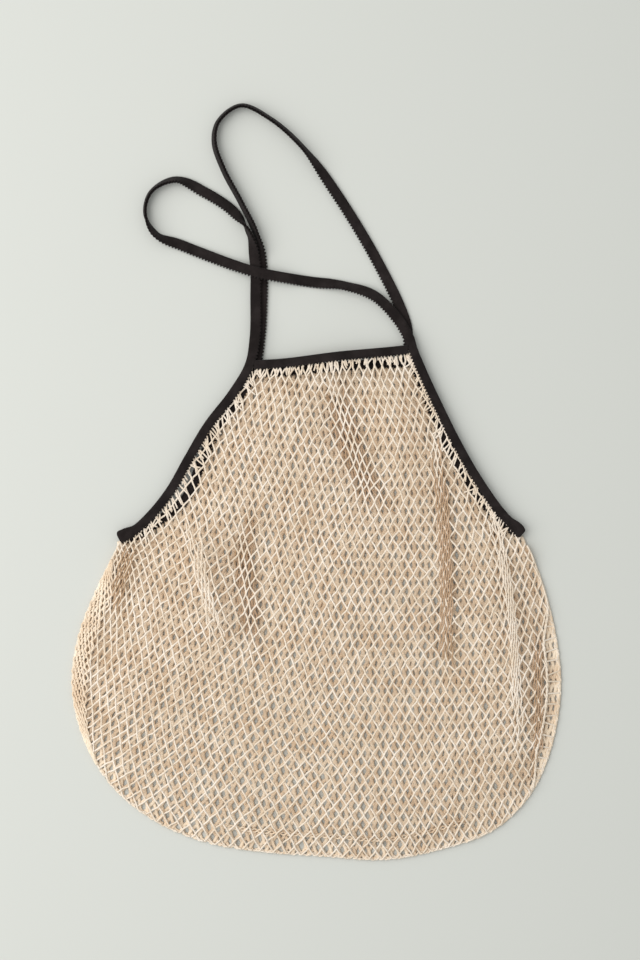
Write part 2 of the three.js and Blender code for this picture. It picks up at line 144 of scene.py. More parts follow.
# %% [markdown]
# ## Smooth paths through chosen points
# The tape lies in free curves, so its path is a smooth line through a few given points. A centripetal
# Catmull-Rom curve passes through all of them without loops or overshoot. The columns of the table after
# x and y, such as the twist of the tape, ease from one row to the next.

# %% Path helpers
def smoothstep(x, low, high):
    """0 below low, 1 above high, and 3 t^2 - 2 t^3 between."""
    t = np.clip((x - low) / (high - low), 0, 1)
    return t * t * (3 - 2 * t)


def lerp(a, b, t):
    """a at t = 0, b at t = 1, and a straight line between."""
    return a + (b - a) * t


def curve_through(rows, steps):
    """Places on a centripetal Catmull-Rom curve through the first two columns of rows; the other columns
    ease from row to row. Each stretch between two rows gets the same number of steps."""
    rows = np.asarray(rows, float)
    p = rows[:, :2]
    p = np.vstack([2 * p[0] - p[1], p, 2 * p[-1] - p[-2]])
    gap = np.sqrt(np.linalg.norm(np.diff(p, axis=0), axis=1))[:, None]
    d0, d1, d2 = gap[:-2], gap[1:-1], gap[2:]
    p0, p1, p2, p3 = p[:-3], p[1:-2], p[2:-1], p[3:]
    leave = ((p1 - p0) / d0 - (p2 - p0) / (d0 + d1) + (p2 - p1) / d1) * d1
    arrive = ((p2 - p1) / d1 - (p3 - p1) / (d1 + d2) + (p3 - p2) / d2) * d1
    t = (np.arange(steps) / steps)[None, :, None]
    c2 = (3 * (p2 - p1) - 2 * leave - arrive)[:, None]
    c3 = (2 * (p1 - p2) + leave + arrive)[:, None]
    places = p1[:, None] + leave[:, None] * t + c2 * t**2 + c3 * t**3
    eased = lerp(rows[:-1, None, 2:], rows[1:, None, 2:], smoothstep(t, 0, 1))
    run = np.concatenate([places, eased], axis=-1).reshape(-1, rows.shape[1])
    return np.vstack([run, rows[-1]])


def lengths(places):
    """Length along a line of places, starting at 0."""
    return np.concatenate([[0], np.cumsum(np.linalg.norm(np.diff(places, axis=0), axis=1))])


def evenly(run, spacing):
    """The same line with its stations a given way apart, measured along the line."""
    length = lengths(run[:, :2])
    at = np.linspace(0, length[-1], int(length[-1] / spacing) + 1)
    return np.stack([np.interp(at, length, column) for column in run.T], axis=1), at


# %% [markdown]
# ## Where the tape runs
# These tables say where the tape lies, as shares of the sizes above: along the armhole, out and down
# towards the side point; along the handles, across the mouth and up. The last columns say how far the
# tape is turned about its length, and how many layers of handle or of binding it lies on.

# %% Routes of the tape
# out, down, inset of the back tape in widths of binding
LEFT_ARM = [
    (0, 0, 0.58), (0.126, 0.165, 0.63), (0.314, 0.353, 0.8), (0.459, 0.541, 1.25),
    (0.597, 0.729, 1.6), (0.734, 0.865, 0.95), (0.872, 0.965, 0.5), (1, 1.012, 0),
]
RIGHT_ARM = [
    (0, 0, 0.3), (0.105, 0.146, 0.4), (0.243, 0.319, 0.65), (0.389, 0.492, 0.75),
    (0.554, 0.665, 0.85), (0.751, 0.838, 0.6), (0.874, 0.922, 0.3), (1, 0.989, 0),
]
# across, rise, twist in degrees, layers of handle below, layers of binding below
TALL_LOOP = [
    (-0.871, 0.089, 0, 0, 0), (-0.852, 0.184, 0, 0, 0), (-0.852, 0.374, 0, 0, 0),
    (-0.926, 0.493, 68, 0, 0), (-1.117, 0.62, 72, 0, 0), (-1.326, 0.747, 72, 0, 0),
    (-1.437, 0.857, 72, 0, 0), (-1.382, 0.937, 72, 0, 0), (-1.111, 0.998, 72, 0, 0),
    (-0.754, 0.947, 72, 0, 0), (-0.36, 0.836, 70, 0, 0), (0.034, 0.663, 12, 0, 0),
    (0.538, 0.398, 0, 0, 0), (0.908, 0.145, 0, 0, 0),
]
SHORT_LOOP = [
    (-0.932, 0.115, 0, 0, 1), (-0.924, 0.33, 0, 1, 0), (-0.932, 0.544, 0, 1, 0),
    (-1.006, 0.701, 70, 0.6, 0), (-1.222, 0.831, 165, 0, 0), (-1.566, 0.935, 175, 0, 0),
    (-1.911, 1.003, 122, 0, 0), (-2.206, 0.938, 106, 0, 0), (-2.286, 0.82, 100, 0, 0),
    (-2.157, 0.696, 62, 0, 0), (-1.837, 0.634, 8, 0, 0), (-1.345, 0.546, 0, 0.5, 0),
    (-1, 0.49, 0, 2, 0), (-0.803, 0.468, 0, 2, 0), (-0.237, 0.428, 0, 0, 0),
    (0.169, 0.406, 40, 0, 0), (0.526, 0.349, 15, 1, 0), (0.797, 0.228, 0, 1, 0),
    (0.945, 0.115, 0, 0.2, 0.8),
]


def arm_rows(table, side, is_back):
    """Rows x, y, twist, over, bound, net, side of one armhole, from the mouth corner to the side point.
    The back tape is the front one moved in towards the net by its inset."""
    out, down, inset = np.array(table, float).T
    corner = np.array([side * MOUTH_WIDTH / 2, side * MOUTH_SLANT / 2])
    end = np.array([SHOULDER_LEAN + side * SHOULDER_SPAN / 2, -SHOULDER_DROP])
    x = lerp(corner[0], end[0], out)
    y = lerp(corner[1], end[1], down)
    if is_back:
        run = np.stack([np.append(x[1:], x[-1]) - np.insert(x[:-1], 0, x[0]),
                        np.append(y[1:], y[-1]) - np.insert(y[:-1], 0, y[0])])
        run = run / np.linalg.norm(run, axis=0)
        shift = inset * BINDING_WIDTH * side
        x, y = x + run[1] * shift, y - run[0] * shift
    flat = np.zeros_like(x)
    return np.stack([x, y, flat, flat, flat + (0 if is_back else 1), flat + 1, flat + side], axis=1)


def carry_rows(loop, rise, is_back):
    """The whole run of one carry tape: up the left armhole, round the handle, down the right armhole."""
    across, up, twist, over, bound = np.array(loop, float).T
    flat = np.zeros_like(across)
    middle = np.stack([across * MOUTH_WIDTH / 2, up * rise, twist, over, bound, flat, flat], axis=1)
    return np.vstack([arm_rows(LEFT_ARM, -1, is_back)[::-1], middle, arm_rows(RIGHT_ARM, 1, is_back)])


routes = {
    "front": curve_through(carry_rows(SHORT_LOOP, SHORT_RISE, False), 24),
    "back": curve_through(carry_rows(TALL_LOOP, TALL_RISE, True), 24),
}
for panel, run in routes.items():
    print(panel, "carry tape:", round(lengths(run[:, :2])[-1]), "mm long")


# %% [markdown]
# ## Folded tape
# The tape is a woven cotton ribbon folded in half lengthways. Seen from its end it is a long U: a round
# fold on one side and two free leaves on the other, with the edge of the net between them. The free edges
# have tiny loops of thread, one every two millimetres or so, which give them a toothed look.

# %% Profile of the folded tape
PICOT_PITCH = 2.6  # a fifth wider than the real ones, so that they show in the render
PICOT_DEPTH = 1.5  # half as deep again as the real ones, for the same reason
TAPE_STEP = 0.55  # from one ring of the tape to the next
LEFT_ROUNDING = 2.5  # length over which the left end is rounded
RIGHT_ROUNDING = 6
CLUB = 0.34  # how much wider the ends are, where the tape is turned in and sewn over itself
CLUB_FULL = 7  # the end is at its widest up to here
CLUB_GONE = 17


def leaf_profile(width, slot, depth, bulge):
    """One ring of the folded tape for each station. s runs from the fold to the open edge and t through
    the two layers; each leaf is a slightly swollen strip with a rounded edge. (stations, points, 2)"""
    half = width[:, None] / 2
    inner = slot[:, None] / 2
    outer = inner + TAPE_LEAF
    turn = np.linspace(-90, 90, 7)[None] * np.pi / 180
    fold_s = -half + TAPE_LEAF * 0.9 * (1 - np.cos(turn))
    fold_t = outer * np.sin(turn)
    reach = np.linspace(0.2, 0.94, 5)[None]
    swell = bulge * np.sin(np.pi * reach)
    top_s = lerp(-half + TAPE_LEAF * 0.9, half, reach)
    top_t = outer + swell - bulge * 0.5
    edge = half - np.array([[0.12, 0.0, 0.12]])
    edge_t = inner + TAPE_LEAF * np.array([[0.85, 0.5, 0.12]])
    groove = np.repeat(half - depth, 2, axis=1)
    groove_t = inner * np.array([[0.9, -0.9]])
    s = np.concatenate([fold_s, top_s, edge, groove, edge[:, ::-1], top_s[:, ::-1]], axis=1)
    t = np.concatenate([fold_t, top_t, edge_t, groove_t, -edge_t[:, ::-1], -top_t[:, ::-1]], axis=1)
    return np.stack([s, t], axis=-1)


def toothed(profile, along):
    """The profile with its free edges moved in and out in a wave of one picot pitch."""
    half = profile[..., 0].max(axis=1, keepdims=True)
    free = smoothstep(profile[..., 0], half - 1.6, half - 0.3)
    wave = (1 + np.cos(2 * np.pi * along / PICOT_PITCH))[:, None] / 2
    shaped = profile.copy()
    shaped[..., 0] -= PICOT_DEPTH * free * wave
    return shaped


def across_of(places):
    """Unit vectors to the right of the run of a line of places."""
    step = np.gradient(places[:, :2], axis=0)
    right = np.stack([step[:, 1], -step[:, 0]], axis=1)
    return right / np.linalg.norm(right, axis=1, keepdims=True)


def carry_tape(name, run):
    """Folded tape carried along a route. A turn about its length lifts its middle by half the width times
    |sin| plus half the thickness times |cos|, so that its lowest edge stays put. Its ends are rounded as
    a quarter circle is: the square root of 1 - (1 - way from the end)^2."""
    run, along = evenly(run, TAPE_STEP)
    x, y, twist, over, bound, net, _ = run.T
    width = lerp(HANDLE_WIDTH, BINDING_WIDTH, net)
    slot = lerp(HANDLE_SLOT, BINDING_SLOT, net)
    turn = np.radians(twist)
    lift = width / 2 * np.abs(np.sin(turn)) + (slot / 2 + TAPE_LEAF) * np.abs(np.cos(turn))
    middle = over * HANDLE_LAYER + bound * BINDING_LAYER + lift
    from_end = np.minimum(along / LEFT_ROUNDING, (along[-1] - along) / RIGHT_ROUNDING)
    rounding = np.sqrt(np.clip(1 - (1 - np.minimum(from_end, 1)) ** 2, 0.02, 1))
    club = 1 + CLUB * (1 - smoothstep(np.minimum(along, along[-1] - along), CLUB_FULL, CLUB_GONE))
    profile = toothed(leaf_profile(width, slot, GROOVE_DEPTH, 0.12), along)
    s = profile[..., 0] * (club * lerp(0.5, 1, rounding))[:, None]
    t = profile[..., 1] * lerp(0.55, 1, rounding)[:, None]
    right = across_of(run)
    out = s * np.cos(turn)[:, None] - t * np.sin(turn)[:, None]
    up = s * np.sin(turn)[:, None] + t * np.cos(turn)[:, None]
    rings = np.stack([
        x[:, None] + right[:, :1] * out,
        y[:, None] + right[:, 1:] * out,
        middle[:, None] + up,
    ], axis=-1)
    return skin(name, rings[None], along[None])


carry_pieces = {panel: carry_tape(f"{panel}_carry_ribbon", run) for panel, run in routes.items()}

# %% [markdown]
# ## Binding of the two mouths
# A shorter piece of the same tape binds the mouth of each panel. Its ends are cut along the carry tape.
# Each station is a line from the upper edge of the tape to the lower one, and the profile lies on it.

# %% Mouth bindings
MOUTH_ARCH = 7.5
# share of the way along, dip below the line between the corners in widths of binding
MOUTHS = {
    "front": [(0.0, 0.0), (0.22, 0.12), (0.55, -0.03), (0.8, -0.05), (1.0, -0.1)],
    "back": [(0.0, 0.72), (0.22, 0.86), (0.55, 0.86), (0.8, 0.98), (1.0, 1.1)],
}


def arm_line(panel, side, away):
    """The line a given way from the middle of an armhole tape, towards the net, from the mouth down."""
    run = routes[panel]
    bound = (run[:, 5] > 0.999) & (run[:, 6] * side > 0.999)
    line = (run[:, :2] + across_of(run) * away)[bound]
    return line[np.argsort(-line[:, 1])]


def crossing(line, y):
    """x at which a line that runs downwards crosses the height y."""
    return np.interp(-np.asarray(y), -line[:, 1], line[:, 0])


def mouth_line(panel, arms, below, count):
    """Places along a mouth, a way below the middle of its binding, between two armhole lines."""
    along, dip = np.array(MOUTHS[panel]).T
    x = (along - 0.5) * MOUTH_WIDTH
    y = (along - 0.5) * MOUTH_SLANT - dip * BINDING_WIDTH - below
    run = curve_through(np.stack([x, y], axis=1), 16)
    ends = [crossing(arms[0], run[0, 1]), crossing(arms[1], run[-1, 1])]
    at = np.linspace(ends[0], ends[1], count)
    return np.stack([at, np.interp(at, run[:, 0], run[:, 1])], axis=1)


def arch_at(x):
    """Height of the front mouth over its corners: half a cosine wave from corner to corner."""
    share = np.clip(x / MOUTH_WIDTH + 0.5, 0, 1)
    return MOUTH_ARCH * (1 - np.cos(2 * np.pi * share)) / 2


def mouth_binding(name, panel):
    """Folded tape whose profile lies on lines from the upper edge of the mouth to the lower one: place =
    upper + (lower - upper) x (s / width + 1/2), height = foot + half the thickness + t."""
    arms = [arm_line(panel, side, BINDING_WIDTH / 2 + 0.3) for side in (-1, 1)]
    count = 220
    upper = mouth_line(panel, arms, -BINDING_WIDTH / 2, count)
    lower = mouth_line(panel, arms, BINDING_WIDTH / 2, count)
    along = lengths((upper + lower) / 2)
    size = np.full(count, BINDING_WIDTH)
    profile = toothed(leaf_profile(size, size * 0 + BINDING_SLOT, GROOVE_DEPTH, 0.12), along)
    share = profile[..., :1] / BINDING_WIDTH + 0.5
    flat = lerp(upper[:, None], lower[:, None], share)
    foot = 0 if panel == "back" else BINDING_LAYER + arch_at((upper[:, 0] + lower[:, 0]) / 2)
    middle = (foot + BINDING_SLOT / 2 + TAPE_LEAF) * np.ones(count)
    height = middle[:, None, None] + profile[..., 1:]
    return skin(name, np.concatenate([flat, height], axis=-1)[None], along[None])


mouth_pieces = {panel: mouth_binding(f"{panel}_mouth_ribbon", panel) for panel in MOUTHS}

# %% [markdown]
# ## Outline and height of the net
# The net ends in the tape at the top and at its seam round the rest. The outline under the side points is
# again a table of shares. Height is a function of place: the front panel stands highest in the middle of
# the bag, comes down to the seam at the rim, and is held up at the mouth by its binding.

# %% Outline of a panel
# side as a share of half the width, drop as a share of the depth, how far the row is tied to the side point
RIM = [
    (-1.02, 0.046, 1), (-0.998, 0.167, 0.5), (-1.004, 0.312, 0.15), (-1, 0.46, 0), (-0.959, 0.614, 0),
    (-0.853, 0.759, 0), (-0.681, 0.872, 0), (-0.46, 0.945, 0), (-0.231, 0.975, 0), (0.035, 0.99, 0),
    (0.28, 1, 0), (0.505, 0.969, 0), (0.722, 0.91, 0), (0.873, 0.802, 0), (0.959, 0.66, 0),
    (1, 0.475, 0), (1.008, 0.321, 0.15), (1.017, 0.167, 0.5), (1.05, 0.052, 1),
]
side_share, drop, tied = np.array(RIM, float).T
rim_line = curve_through(np.stack([
    lerp(BODY_LEAN, SHOULDER_LEAN, tied) + side_share * lerp(BODY_WIDTH, SHOULDER_SPAN, tied) / 2,
    -SHOULDER_DROP - drop * BODY_DEPTH,
], axis=1), 8)
RIM_INSET = 1.0  # from the outline to the last meshes
BACK_INSET = 1.4
LADDER_WIDTH = 10.5  # how much further in the front meshes end where the ladder shows
rim_run, rim_at = evenly(rim_line, 1.0)
rim_share = rim_at / rim_at[-1]
rim_in = -across_of(rim_run)
ladder = smoothstep(rim_share, 0.735, 0.79) * (1 - smoothstep(rim_share, 0.90, 0.95))
net_inset = RIM_INSET + LADDER_WIDTH * ladder
net_rim = rim_run + rim_in * net_inset[:, None]
print("rim:", round(rim_at[-1]), "mm round")


def panel_edge(panel):
    """The bound edge of a panel, from the left side point over the mouth to the right one, and the whole
    closed outline with the rim."""
    seat = BINDING_WIDTH / 2 - NET_SEAT
    arms = [arm_line(panel, side, seat) for side in (-1, 1)]
    mouth = mouth_line(panel, arms, seat, 24)
    left = arms[0][arms[0][:, 1] < mouth[0, 1] - 2 * NET_SEAT]
    right = arms[1][arms[1][:, 1] < mouth[-1, 1] - 2 * NET_SEAT]
    bound = np.vstack([left[::-1][::2], mouth, right[::2]])
    rim = net_rim if panel == "front" else rim_run + rim_in * BACK_INSET
    return bound, np.vstack([rim[::6], bound[::-1]])


edges = {panel: panel_edge(panel) for panel in MOUTHS}


def distance_to(line, x, y, closed=False):
    """Distance from places to a line of points, and the nearest place on the line."""
    a = line if closed else line[:-1]
    b = np.roll(line, -1, axis=0) if closed else line[1:]
    best = np.full(x.shape, np.inf)
    near = np.zeros(x.shape + (2,))
    for (ax, ay), (dx, dy) in zip(a, b - a):
        share = np.clip(((x - ax) * dx + (y - ay) * dy) / (dx * dx + dy * dy + 1e-12), 0, 1)
        nx, ny = ax + share * dx, ay + share * dy
        away = np.hypot(x - nx, y - ny)
        closer = away < best
        best = np.where(closer, away, best)
        near[closer] = np.stack([nx, ny], axis=-1)[closer]
    return best, near


def inside(ring, x, y):
    """True inside a closed ring: a line from the place to the right meets it an odd number of times."""
    odd = np.zeros(x.shape, bool)
    for (ax, ay), (bx, by) in zip(ring, np.roll(ring, -1, axis=0)):
        spans = (ay > y) != (by > y)
        at = ax + (y - ay) * (bx - ax) / (by - ay + 1e-12)
        odd ^= spans & (x < at)
    return odd


# %% [markdown]
# ## Height of the two panels
# Seen from the side the bag is a low cushion of air with a flat underside. A quarter of a round arch, from
# the rim inwards, gives its crown. Each fold adds or takes away a soft ridge along a line, whose height
# falls off with the distance as a bell curve does.

# %% Height of the panels
BELLY_RISE = 8.0  # of the front panel over its seam
BELLY_FOOT = 1.5  # height of the front panel at the seam
CROWN_RUN = 70.0  # from the seam to the full rise
EDGE_RUN = 6.75  # way over which the net keeps the height of its tape
EDGE_LIFT = 1.3  # of the slot over the underside of a binding
FRONT_SETTLE = 30  # way over which the net then comes to its own height
BACK_SETTLE = 14
# side and depth of both ends as shares, lift as a share of the belly, reach as a share of the width,
# and how strongly the meshes are drawn in towards the fold
FOLDS = [
    (0.49, 0.18, 0.53, 0.61, -0.42, 0.045, 0.62),
    (0.07, 0.06, 0.2, 0.25, -0.42, 0.06, 0.5),
    (-0.3, 0.35, -0.27, 0.58, -0.36, 0.045, 0.42),
    (-0.49, 0.36, -0.39, 0.56, 0.3, 0.05, 0.25),
    (0.74, 0.36, 0.82, 0.77, 0.28, 0.04, 0.35),
]


def fold_place(side, down):
    """A place from shares of half the width and of the depth under the mouth."""
    return np.array([BODY_LEAN + side * BODY_WIDTH / 2, -down * (SHOULDER_DROP + BODY_DEPTH)])


def fold_lift(x, y):
    """Sum of lift times exp(-(distance to the fold / reach)^2)."""
    total = np.zeros(x.shape)
    for side0, down0, side1, down1, lift, reach, _ in FOLDS:
        line = np.array([fold_place(side0, down0), fold_place(side1, down1)])
        away, _ = distance_to(line, x, y)
        total += lift * np.exp(-((away / (reach * BODY_WIDTH)) ** 2))
    return total


def front_height(x, y):
    """Underside of the front panel: the belly inside, the height of the slot in the tape at the edge."""
    to_bound, _ = distance_to(edges["front"][0], x, y)
    to_rim, _ = distance_to(rim_line, x, y)
    crown = 1 - (1 - np.minimum(to_rim / CROWN_RUN, 1)) ** 2
    belly = BELLY_FOOT + BELLY_RISE * crown * (1 + fold_lift(x, y))
    edge = BINDING_LAYER + EDGE_LIFT + arch_at(x)
    return lerp(edge, belly, smoothstep(to_bound, EDGE_RUN, EDGE_RUN + FRONT_SETTLE))


def back_height(x, y):
    """Underside of the back panel: it rests on the floor and rises only into the slot of its tape."""
    to_bound, _ = distance_to(edges["back"][0], x, y)
    return lerp(EDGE_LIFT, 0, smoothstep(to_bound, EDGE_RUN, EDGE_RUN + BACK_SETTLE))


# %% [markdown]
# ## How the meshes lie
# The net is a lattice: columns of meshes fan out from the mouth, and rows cross them at right angles, so
# at the left the rows climb. A short table says where a few columns lie at a few depths, and a smooth
# surface of low powers is fitted through it. A place in the lattice is (column, row). Its x comes from the
# column at that depth, its depth from the row less the climb at that x. Each needs the other, so a few
# rounds of putting one into the other settle both.

# %% The lattice
ROW_STEP = 7.2  # half a mesh
ROW_TOP = 22  # the first row lies this far above the middle of the mouth
STRAIGHT_X = 63  # where the rows lie level; they climb to both sides of it
LEFT_CLIMB, LEFT_SPAN = 0.17, 208  # climb in millimetres = climb x way^2 / span
RIGHT_CLIMB, RIGHT_SPAN = 0.05, 80
# Where columns of meshes lie: the depth under the mouth, then x of each column in COLUMNS at that depth.
COLUMNS = [-33, -27, -21, -14, -7, 0, 4, 8, 12, 16]
COLUMN_X = [
    (9, -145, -107, -69, -27, 17, 60, 84, 107, 131, 155),
    (65, -171, -127, -84, -31, 17, 65, 92, 117, 143, 171),
    (129, -175, -141, -91, -40, 15, 71, 102, 128, 152, 176),
    (193, -179, -140, -100, -49, 8, 69, 101, 131, 161, 190),
    (225, -200, -158, -113, -56, 4, 68, 101, 129, 160, 190),
    (257, -218, -171, -123, -62, 1, 67, 100, 132, 161, 191),
    (289, -236, -186, -135, -68, 0, 66, 100, 133, 162, 192),
    (321, -261, -204, -145, -72, -2, 65, 99, 133, 163, 194),
    (353, -277, -217, -155, -79, -4, 65, 99, 133, 165, 197),
    (401, -293, -231, -165, -84, -7, 64, 99, 134, 167, 200),
]
table = np.array(COLUMN_X, float)


def powers(depth, mesh):
    """Products of powers 0 to 4 of depth and 0 to 4 of column, both scaled to about -1 to 1."""
    d, m = depth / 200 - 1, mesh / 30
    return np.stack([d**i * m**j for i in range(5) for j in range(5)], axis=-1)


grid = np.meshgrid(table[:, 0], np.array(COLUMNS, float), indexing="ij")
smooth_fit, *_ = np.linalg.lstsq(powers(*grid).reshape(-1, 25), table[:, 1:].ravel(), rcond=None)
miss = np.abs(powers(*grid) @ smooth_fit - table[:, 1:]).max()
print("the smooth lattice leaves the table by", miss.round(1), "mm at most")


def lattice(column, row):
    """Place of (column, row): column counts half meshes to the right of the straight one, and row half
    meshes down from a line above the mouth."""
    mesh = np.clip(column / 2, -38, 19)
    down = row * ROW_STEP - ROW_TOP
    depth = down
    for _ in range(5):
        x = powers(np.clip(depth, -12, 410), mesh) @ smooth_fit
        left = np.clip(STRAIGHT_X - x, 0, None)
        right = np.clip(x - STRAIGHT_X, 0, None)
        depth = down - LEFT_CLIMB * left**2 / LEFT_SPAN - RIGHT_CLIMB * right**2 / RIGHT_SPAN
    return x, -depth


def slack(x, y):
    """Places of the front panel moved by a few slow sine waves of 1 to 2 mm, because loose net never lies
    evenly. The waves start a little under the mouth."""
    across = 1.6 * np.sin(x / 27 + y / 61 + 0.7) + 1.1 * np.sin(y / 19 - x / 43)
    down = 1.2 * np.sin(x / 17 - y / 90 + 2.1) + 0.9 * np.sin(y / 31 + x / 36 + 1.3)
    inner = smoothstep(-y, 25, 60)
    return x + across * inner, y + down * inner


def drawn_in(x, y):
    """Places moved towards the folds, and towards the left side point, where the net is crowded."""
    for side0, down0, side1, down1, _, reach, gather in FOLDS:
        line = np.array([fold_place(side0, down0), fold_place(side1, down1)])
        away, near = distance_to(line, x, y)
        pull = gather * np.exp(-((away / (reach * BODY_WIDTH * 0.6)) ** 2))
        x, y = lerp(x, near[..., 0], pull), lerp(y, near[..., 1], pull)
    sx, sy = SHOULDER_LEAN - SHOULDER_SPAN / 2, -SHOULDER_DROP - 8
    pull = 0.4 * np.exp(-(((x - sx) ** 2 + (y - sy) ** 2) / 46**2))
    return lerp(x, sx, pull), lerp(y, sy, pull)


# %% [markdown]
# ## Strands of yarn
# A mesh is four pieces of yarn. Rather than building bars and knots, each yarn runs right through the
# panel, down and to the right or down and to the left, and the two directions meet at every knot. Near a
# knot both run side by side for a moment, and one passes over the other.

# %% Strands of one direction
YARN = 1.4  # thickness
ROWS = 62
KNOT_EASE = 0.3  # how long two strands run side by side at a knot
WANDER = 0.4  # how far a knot lies from its place, as one standard deviation
COLUMN_SPAN = (-76, 38)  # first and last column of the front panel, in half meshes
RIM_CATCH = 4.5  # strands that run at most this far past the outline are laid along it
noise = np.random.default_rng(7)
JITTER = noise.normal(0, 1, (4, 400, ROWS + 4))


def at_knots(table, knots, row):
    """Values of a table of random numbers, one for each knot, eased from knot to knot along a strand."""
    j = np.floor(row).astype(int)
    i, k = (np.rint(c).astype(int) % 400 for c in knots)
    return lerp(table[i, j], table[k, j + 1], smoothstep(row - j, 0, 1))


def strand_columns(first, turn, row):
    """Column of a strand at each row: it grows by u - ease sin(2 pi u) / (2 pi) between two knots."""
    whole = np.floor(row)
    u = row - whole
    return first + turn * (whole + u - KNOT_EASE * np.sin(2 * np.pi * u) / (2 * np.pi))


def mouth_row(panel, x):
    """Row at which the mouth binding lies, at x."""
    line = edges[panel][0]
    top = line[np.argsort(line[:, 0])]
    y = np.interp(x, top[:, 0], top[:, 1])
    return (ROW_TOP - y) / ROW_STEP


def strands(panel, turn, steps, scale, shift):
    """Centre lines (strand, station, 3) of the strands of a panel that go down to the right (turn 1) or to
    the left (turn -1), with what is inside the panel. scale is the width of a mesh as a share of the
    table's, and shift moves the columns. Height is a cosine of the row, so strands pass over and under."""
    low, high = (int(end / scale) // 2 * 2 for end in COLUMN_SPAN)
    first = np.arange(low - (ROWS if turn > 0 else 0), high + (0 if turn > 0 else ROWS), 2.0)[:, None]
    row = np.repeat((np.arange(ROWS * steps + 1) / steps)[None], len(first), axis=0)
    column = strand_columns(first, turn, row)
    x, y = lattice(column * scale + shift, row)
    hold = mouth_row(panel, x) + 0.8 + 0.3 * np.abs(JITTER[0, : len(first), :1])
    column = strand_columns(first, turn, np.where(y > -45, np.maximum(row, hold), row))
    x, y = lattice(column * scale + shift, row)
    knots = (first + turn * np.floor(row), first + turn * (np.floor(row) + 1))
    seed = 0 if panel == "front" else 2
    x = x + WANDER * at_knots(JITTER[seed], knots, row)
    y = y + WANDER * at_knots(JITTER[seed + 1], knots, row)
    if panel == "front":
        x, y = drawn_in(*slack(x, y))
    bound, outline = edges[panel]
    away, near = distance_to(outline, x, y, closed=True)
    within = inside(outline, x, y)
    to_bound, _ = distance_to(bound, x, y)
    kept = within | ((away < RIM_CATCH) & (to_bound > 2 * RIM_CATCH))
    x = np.where(within, x, near[..., 0])
    y = np.where(within, y, near[..., 1])
    foot = front_height(x, y) if panel == "front" else back_height(x, y)
    loose = smoothstep(to_bound, 2, 12)
    weave = turn * lerp(0.15, 0.42, loose) * np.cos(np.pi * row)
    z = foot + lerp(0.6, 1.15, loose if panel == "back" else 0) + weave
    return np.stack([x, y, z], axis=-1), kept


def yarn_piece(name, centres, kept, thick, spread=1.0):
    """Yarn about centre lines: six points at equal angles in the plane across the run. spread is its width
    as a share of its height, because soft yarn under a load is pressed flat."""
    step = np.gradient(centres, axis=1)
    step = step / (np.linalg.norm(step, axis=-1, keepdims=True) + 1e-9)
    flat = np.stack([step[..., 1], -step[..., 0], step[..., 0] * 0], axis=-1)
    flat = flat / (np.linalg.norm(flat, axis=-1, keepdims=True) + 1e-9)
    rise = np.cross(flat, step)
    angle = np.arange(6) * np.pi / 3
    ring = thick / 2 * (spread * np.cos(angle)[:, None] * flat[..., None, :]
                        + np.sin(angle)[:, None] * rise[..., None, :])
    moved = np.linalg.norm(np.diff(centres, axis=1), axis=-1)
    along = np.concatenate([np.zeros((len(centres), 1)), np.cumsum(moved, axis=1)], axis=1)
    return skin(name, centres[:, :, None] + ring, along, kept)


# stations to a row, width of a mesh as a share of the table's, shift in columns, spread of the yarn; the
# back panel is crowded and pressed flat, so that its yarn, coloured with painted shade, shows in nearly
# every gap of the front one
PANELS = {"front": (6, 1.0, 0.0, 1.0), "back": (4, 0.62, 0.7, 2.1)}
net_pieces = {}
for panel, (steps, scale, shift, spread) in PANELS.items():
    for turn, way in ((1, "right"), (-1, "left")):
        centres, kept = strands(panel, turn, steps, scale, shift)
        net_pieces[panel, way] = yarn_piece(f"{panel}_yarn_{way}", centres, kept, YARN, spread)

# %% [markdown]
# ## Rim, selvedge and seam
# Round the rim the last meshes are drawn together into a twisted pair of yarns. At the left the edge of the
# net lies pulled out along the rim, so its strands run side by side in narrow loops. At the right the two
# panels are laced together, and the lacing shows as a ladder. All of them follow the rim at an offset.

# %% Yarn round the rim
def rim_yarn(name, offset, height, kept, thick=YARN):
    """Yarn along the rim: offset (strand, station) inwards and height over the seam, in millimetres."""
    flat = rim_run[None] + rim_in[None] * offset[..., None]
    return yarn_piece(name, np.concatenate([flat, height[..., None]], axis=-1), kept, thick)


def wave(pitch, phase):
    """Sine along the rim for each phase, in turns. (strand, station)"""
    return np.sin(2 * np.pi * (rim_at[None] / pitch + np.asarray(phase, float)[:, None]))


RIM_PITCH = 7  # of the two yarns that wind round each other
RIM_YARN = 1.2
SCALLOP_PITCH = 10.8
SCALLOP_DEPTH = 1.9
everywhere = np.ones((2, len(rim_at)), bool)
scallop = SCALLOP_DEPTH * np.abs(np.cos(np.pi * rim_at / SCALLOP_PITCH)) ** 3
scallop = scallop * smoothstep(rim_share, 0.2, 0.3)
rim_off = 0.7 + 0.5 * wave(RIM_PITCH, [0, 0.5]) + scallop
rim_up = 1.45 + 0.5 * wave(RIM_PITCH, [0.25, 0.75])
net_pieces["front", "rim"] = rim_yarn("rim_yarn", rim_off, rim_up, everywhere, RIM_YARN)

